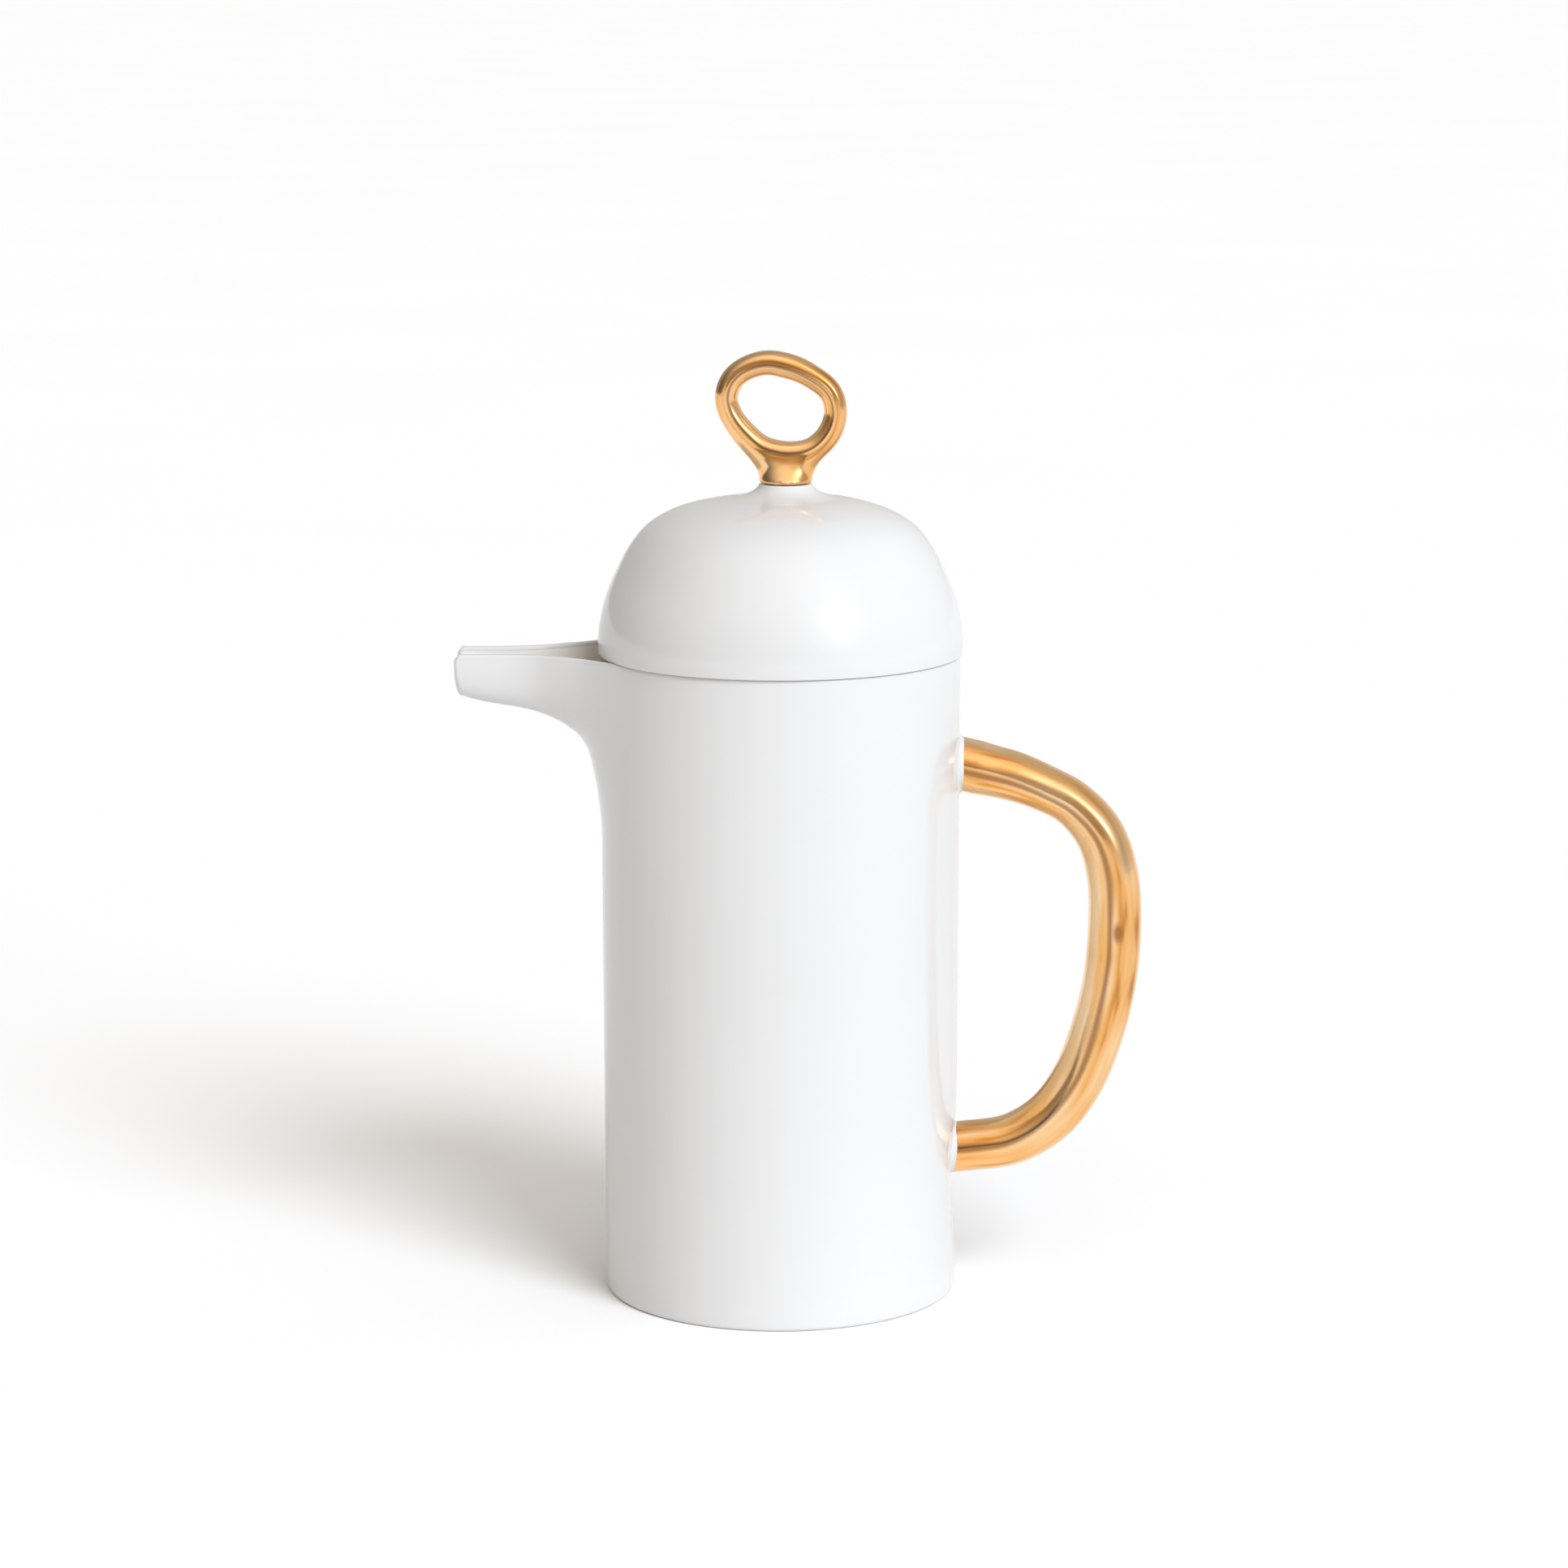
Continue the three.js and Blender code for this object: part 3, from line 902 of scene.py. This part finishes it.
def make_finial():
    margin = 1.5  # round the finial, for the grid that finds its surface
    low = finial_low - margin
    high = finial_high + margin
    low[1] = -FOOT_RADIUS - margin
    high[1] = FOOT_RADIUS + margin
    verts, quads = surface_net(finial_field, low, high, FINIAL_CELL)
    finial = mesh_object("finial_gold", verts, quads)
    mark_rod(finial, RING_PLACE)
    return finial


# ------------------------------------------------------------------ materials


def new_material(name):
    material = bpy.data.materials.new(name)
    material.use_nodes = True
    nodes = material.node_tree.nodes
    return material, nodes, material.node_tree.links, nodes["Principled BSDF"]


def noise(nodes, links, place, scale, detail=2.0):
    node = nodes.new("ShaderNodeTexNoise")
    node.inputs["Scale"].default_value = scale
    node.inputs["Detail"].default_value = detail
    links.new(place, node.inputs["Vector"])
    return node


def object_place(nodes):
    return nodes.new("ShaderNodeTexCoord").outputs["Object"]


def ramp(nodes, links, source, stops):
    node = nodes.new("ShaderNodeValToRGB")
    while len(node.color_ramp.elements) < len(stops):
        node.color_ramp.elements.new(0.5)
    for element, (position, colour) in zip(node.color_ramp.elements, stops):
        element.position = position
        element.color = (*colour, 1)
    links.new(source, node.inputs["Fac"])
    return node


def remap(nodes, links, source, low, high, start=0, end=1):
    """A value that goes from low to high as the source goes from start to end."""
    node = nodes.new("ShaderNodeMapRange")
    node.inputs["From Min"].default_value = start
    node.inputs["From Max"].default_value = end
    node.inputs["To Min"].default_value = low
    node.inputs["To Max"].default_value = high
    links.new(source, node.inputs["Value"])
    return node


def mix_colour(nodes, links, factor, source, colour):
    """From a source colour at factor 0 to a fixed one at factor 1."""
    node = nodes.new("ShaderNodeMix")
    node.data_type = "RGBA"
    links.new(factor, node.inputs["Factor"])
    links.new(source, node.inputs["A"])
    node.inputs["B"].default_value = (*colour, 1)
    return node


def vector_step(nodes, links, operation, source, operand=(0, 0, 0)):
    node = nodes.new("ShaderNodeVectorMath")
    node.operation = operation
    node.inputs[1].default_value = operand
    links.new(source, node.inputs[0])
    return node


def calculate(nodes, links, operation, *sources):
    node = nodes.new("ShaderNodeMath")
    node.operation = operation
    for source, socket in zip(sources, node.inputs):
        links.new(source, socket)
    return node


def bump(nodes, links, height, strength, distance):
    node = nodes.new("ShaderNodeBump")
    node.inputs["Strength"].default_value = strength
    node.inputs["Distance"].default_value = distance
    links.new(height, node.inputs["Height"])
    return node


# Painted warm bounce light: the inside's colour turns lighter and warmer between these places in x,
# over the trough of the spout, standing in for the warm light in the trough's shade.
WARM_LIGHT_START = -(TIP_REACH - 16)
WARM_LIGHT_FULL = -(RIM_RADIUS + 4)


def porcelain_material(name, darkest, lightest, deep=None):
    """Clear gloss glaze over white china, with the faint pooling of a hand-dipped glaze.

    deep is the colour of painted warm bounce light that it turns to from the spout's tip inwards, if
    there is one."""
    material, nodes, links, shader = new_material(name)
    place = object_place(nodes)
    body = noise(nodes, links, place, 14, 3)
    colour = ramp(nodes, links, body.outputs["Fac"], [(0.3, darkest), (0.7, lightest)])
    # painted warm bounce light: lighter and warmer from the spout's tip inwards towards the pot
    if deep:
        apart = nodes.new("ShaderNodeSeparateXYZ")
        links.new(place, apart.inputs["Vector"])
        inwards = remap(nodes, links, apart.outputs["X"], 0, 1, WARM_LIGHT_START * MM, WARM_LIGHT_FULL * MM)
        mix = mix_colour(nodes, links, inwards.outputs["Result"], colour.outputs["Color"], deep)
        links.new(mix.outputs["Result"], shader.inputs["Base Color"])
    else:
        links.new(colour.outputs["Color"], shader.inputs["Base Color"])
    gloss = noise(nodes, links, place, 60, 3)
    rough = remap(nodes, links, gloss.outputs["Fac"], 0.07, 0.13)
    links.new(rough.outputs["Result"], shader.inputs["Roughness"])
    swell = noise(nodes, links, place, 45, 1)
    skin = bump(nodes, links, swell.outputs["Fac"], 0.25, 0.0002)
    links.new(skin.outputs["Normal"], shader.inputs["Normal"])
    shader.inputs["IOR"].default_value = 1.5
    return material


def biscuit_material():
    """The bare, unglazed clay that the pot stands on."""
    material, nodes, links, shader = new_material("bare_biscuit")
    place = object_place(nodes)
    grain = noise(nodes, links, place, 900, 4)
    stops = [(0.35, (0.80, 0.775, 0.73)), (0.65, (0.86, 0.84, 0.80))]
    colour = ramp(nodes, links, grain.outputs["Fac"], stops)
    links.new(colour.outputs["Color"], shader.inputs["Base Color"])
    shader.inputs["Roughness"].default_value = 0.75
    grit = bump(nodes, links, grain.outputs["Fac"], 0.3, 0.0002)
    links.new(grit.outputs["Normal"], shader.inputs["Normal"])
    return material


GOLD_THIN = (0.42, 0.12, 0.015)
GOLD_USUAL = (0.86, 0.435, 0.125)
GOLD_THICK = (0.97, 0.69, 0.40)
DARK_REFLECTION_COLOUR = (0.24, 0.08, 0.015)  # colour of the painted dark reflection, a line along the rod's front and back
DARK_REFLECTION_STRENGTH = 0.72
DARK_REFLECTION_WANDER = (-0.12, 0.38)  # between these parts of the way round the rod
DARK_REFLECTION_WIDTH = (0.02, 0.17)  # of the line's core and of its soft edge, in the same terms
MARK_PLACE = (90.6, -7.0, 99.6)  # a burnt mark in the front of the handle's gold
MARK_COLOUR = (0.34, 0.13, 0.035)
MARK_STRENGTH = 0.85
MARK_CORE = 0.7 * MM  # its radius, and that of its soft edge
MARK_EDGE = 1.8 * MM
MARK_SQUASH = 0.5  # it is twice as tall as it is wide


def gold_material():
    """Fired bright gold lustre, brushed on along the rod: a film that is redder where thin."""
    material, nodes, links, shader = new_material("gold_lustre")
    rod = nodes.new("ShaderNodeAttribute")
    rod.attribute_name = ROD_ATTRIBUTE
    place = rod.outputs["Vector"]
    brushed = noise(nodes, links, place, 1.7, 2)
    stops = [(0.28, GOLD_THIN), (0.40, GOLD_USUAL), (0.70, GOLD_THICK)]
    colour = ramp(nodes, links, brushed.outputs["Fac"], stops)

    # painted dark reflection: a brown line along both sides of the rod, front and back, where the
    # polished gold faces the dark part of the room
    apart = nodes.new("ShaderNodeSeparateXYZ")
    links.new(place, apart.inputs["Vector"])
    drift = noise(nodes, links, place, 0.9, 2)
    wander = remap(nodes, links, drift.outputs["Fac"], *DARK_REFLECTION_WANDER)
    offset = calculate(nodes, links, "SUBTRACT", apart.outputs["X"], wander.outputs["Result"])
    reflection_gap = calculate(nodes, links, "ABSOLUTE", offset.outputs["Value"])
    line = remap(nodes, links, reflection_gap.outputs["Value"], DARK_REFLECTION_STRENGTH, 0, *DARK_REFLECTION_WIDTH)
    line.interpolation_type = "SMOOTHSTEP"
    mix = mix_colour(nodes, links, line.outputs["Result"], colour.outputs["Color"], DARK_REFLECTION_COLOUR)

    # one small burnt mark, taller than wide
    middle = tuple(n * MM for n in MARK_PLACE)
    here = vector_step(nodes, links, "SUBTRACT", object_place(nodes), middle)
    squash = vector_step(nodes, links, "MULTIPLY", here.outputs["Vector"], (1, 1, MARK_SQUASH))
    away = vector_step(nodes, links, "LENGTH", squash.outputs["Vector"])
    spot = remap(nodes, links, away.outputs["Value"], MARK_STRENGTH, 0, MARK_CORE, MARK_EDGE)
    burnt = mix_colour(nodes, links, spot.outputs["Result"], mix.outputs["Result"], MARK_COLOUR)
    links.new(burnt.outputs["Result"], shader.inputs["Base Color"])

    shader.inputs["Metallic"].default_value = 1.0
    shader.inputs["Coat Weight"].default_value = 0.4
    shader.inputs["Coat Roughness"].default_value = 0.06
    gloss = noise(nodes, links, place, 5, 4)
    rough = remap(nodes, links, gloss.outputs["Fac"], 0.1, 0.24)
    links.new(rough.outputs["Result"], shader.inputs["Roughness"])
    ripple = noise(nodes, links, place, 1.5, 1)
    skin = bump(nodes, links, ripple.outputs["Fac"], 0.5, 0.0012)
    links.new(skin.outputs["Normal"], shader.inputs["Normal"])
    return material


def floor_material():
    material, nodes, links, shader = new_material("pale_floor")
    place = object_place(nodes)
    grain = noise(nodes, links, place, 3, 2)
    stops = [(0.3, (0.975, 0.975, 0.975)), (0.7, (0.985, 0.985, 0.985))]
    colour = ramp(nodes, links, grain.outputs["Fac"], stops)
    links.new(colour.outputs["Color"], shader.inputs["Base Color"])
    shader.inputs["Roughness"].default_value = 0.9
    return material


def finish(obj, slot, *materials):
    """Gives a piece its materials, in the order of their numbers. Its slot is not used."""
    for material in materials:
        obj.data.materials.append(material)


# ------------------------------------------------------------------ the pieces

# The darkest and the lightest colour of each glaze
GLAZE = ((0.665, 0.664, 0.66), (0.685, 0.684, 0.68))
# painted light: the inside's glaze is painted lighter than the outside's, to brighten the pot's shaded
# inside
GLAZE_INSIDE_PAINTED_LIGHTER = ((0.80, 0.80, 0.79), (0.82, 0.82, 0.81))
# painted warm bounce light for the pot's shaded inside, lighter and warmer than its glaze
PAINTED_WARM_LIGHT = (0.97, 0.915, 0.83)
china = porcelain_material("glazed_china", *GLAZE)
inside_painted_light = porcelain_material("glazed_china_inside_painted_light", *GLAZE_INSIDE_PAINTED_LIGHTER, deep=PAINTED_WARM_LIGHT)
gold = gold_material()
biscuit = biscuit_material()

pot = make_pot()
finish(pot, "porcelain", china, biscuit, inside_painted_light)
foot_reach = (RIM_RADIUS - TAPER - 0.6) * MM  # the glaze was wiped off the flat of the base
for face in pot.data.polygons:
    middle = face.center
    if middle.z < 0.02 * MM and math.hypot(middle.x, middle.y) < foot_reach:
        face.material_index = BARE

handle, root_upper, root_lower = make_handle()
finish(handle, "gold_lustre", gold)
finish(root_upper, "porcelain", china)
finish(root_lower, "porcelain", china)

lid = make_lid()
finish(lid, "porcelain", china)
finial = make_finial()
finish(finial, "gold_lustre", gold)

for piece, body, nodes in (
    (pot, "pot", ("pot_body", "spout")),
    (root_upper, "pot", ("handle_root_upper",)),
    (root_lower, "pot", ("handle_root_lower",)),
    (handle, "pot", ("handle_grip",)),
    (lid, "lid", ("lid_dome", "lid_flange", "lid_neck")),
    (finial, "lid", ("finial_ring",)),
):
    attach(piece, body)
    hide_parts(*nodes)


# ------------------------------------------------------------------ floor, light and camera

FLOOR_SIZE = 80.0  # metres, so that it fills the view up to the horizon
floor_mesh = bpy.data.meshes.new("floor")
edge = FLOOR_SIZE / 2
floor_mesh.from_pydata(
    [(-edge, -edge, 0), (edge, -edge, 0), (edge, edge, 0), (-edge, edge, 0)], [], [(0, 1, 2, 3)]
)
floor = bpy.data.objects.new("floor", floor_mesh)
bpy.context.scene.collection.objects.link(floor)
floor_mesh.materials.append(floor_material())


def towards(azimuth, elevation):
    """A direction from the pot: azimuth in degrees from the front (-Y) round to the right (+X)."""
    a, e = math.radians(azimuth), math.radians(elevation)
    return Vector((math.sin(a) * math.cos(e), -math.cos(a) * math.cos(e), math.sin(e)))


DAYLIGHT = (0.825, 0.905, 1.0)
KEY_AZIMUTH = 38
KEY_ELEVATION = 41.5


def add_sun(name, energy, angle, azimuth, elevation, shiny):
    """Daylight from one direction; angle is how wide the source looks, in degrees."""
    sun = bpy.data.lights.new(name, "SUN")
    sun.angle = math.radians(angle)
    sun.energy = energy
    sun.color = DAYLIGHT
    light = bpy.data.objects.new(name, sun)
    light.rotation_euler = towards(azimuth, elevation).to_track_quat("Z", "Y").to_euler()
    light.visible_glossy = shiny
    bpy.context.scene.collection.objects.link(light)


add_sun("soft_daylight", 1.88, 28, KEY_AZIMUTH, KEY_ELEVATION, False)
add_sun("window", 0.13, 10, 43, 19, True)

# The room's light, as lobes of brightness: where each comes from, how narrow it is, and its colour.
ROOM_LIGHT = [
    (towards(42, 24), 34, (2.2, 2.35, 2.5)),
    (towards(KEY_AZIMUTH, KEY_ELEVATION), 8, (0.22, 0.24, 0.26)),
    ((0, -0.62, 0.78), 4, (1.04, 0.89, 0.735)),
    ((0, 1, 0), 1, (0.62, 0.60, 0.57)),
    ((1, 0, 0), 1, (0.52, 0.52, 0.52)),
    ((-0.8, -0.5, 0.33), 2, (0.18, 0.18, 0.175)),
    ((0, 0, 1), 4, (0.24, 0.25, 0.26)),
]

world = bpy.data.worlds.new("studio")
world.use_nodes = True
bpy.context.scene.world = world
nodes = world.node_tree.nodes
links = world.node_tree.links
view = nodes.new("ShaderNodeTexCoord")
total = None
for direction, power, colour in ROOM_LIGHT:
    facing = vector_step(nodes, links, "DOT_PRODUCT", view.outputs["Generated"], direction)
    lobe = nodes.new("ShaderNodeMath")
    lobe.operation = "MAXIMUM"
    lobe.inputs[1].default_value = 0
    links.new(facing.outputs["Value"], lobe.inputs[0])
    narrow = nodes.new("ShaderNodeMath")
    narrow.operation = "POWER"
    narrow.inputs[1].default_value = power
    links.new(lobe.outputs["Value"], narrow.inputs[0])
    tint = nodes.new("ShaderNodeVectorMath")
    tint.operation = "SCALE"
    tint.inputs[0].default_value = colour
    links.new(narrow.outputs["Value"], tint.inputs["Scale"])
    if total is None:
        total = tint
        continue
    add = nodes.new("ShaderNodeVectorMath")
    add.operation = "ADD"
    links.new(total.outputs["Vector"], add.inputs[0])
    links.new(tint.outputs["Vector"], add.inputs[1])
    total = add
links.new(total.outputs["Vector"], nodes["Background"].inputs["Color"])

CAMERA_DISTANCE = 1.2  # from the pot's axis, along the floor
CAMERA_HEIGHT = 0.367
CAMERA_AZIMUTH = math.radians(3.0)
CAMERA_PITCH = 0.1886  # downwards
CAMERA_SIDE = 0.0009
LENS = 104.72
SENSOR = 36
FAR = 200  # past the floor's corners

camera_data = bpy.data.cameras.new("camera")
camera_data.lens = LENS
camera_data.sensor_width = SENSOR
camera_data.clip_end = FAR
camera = bpy.data.objects.new("camera", camera_data)
side = np.array([math.cos(CAMERA_AZIMUTH), math.sin(CAMERA_AZIMUTH), 0])
back = np.array([math.sin(CAMERA_AZIMUTH), -math.cos(CAMERA_AZIMUTH), 0])
camera.location = back * CAMERA_DISTANCE + side * CAMERA_SIDE + np.array([0, 0, CAMERA_HEIGHT])
camera.rotation_euler = (math.pi / 2 - CAMERA_PITCH, 0, CAMERA_AZIMUTH)
bpy.context.scene.collection.objects.link(camera)
bpy.context.scene.camera = camera

bpy.context.scene.view_settings.view_transform = "Standard"
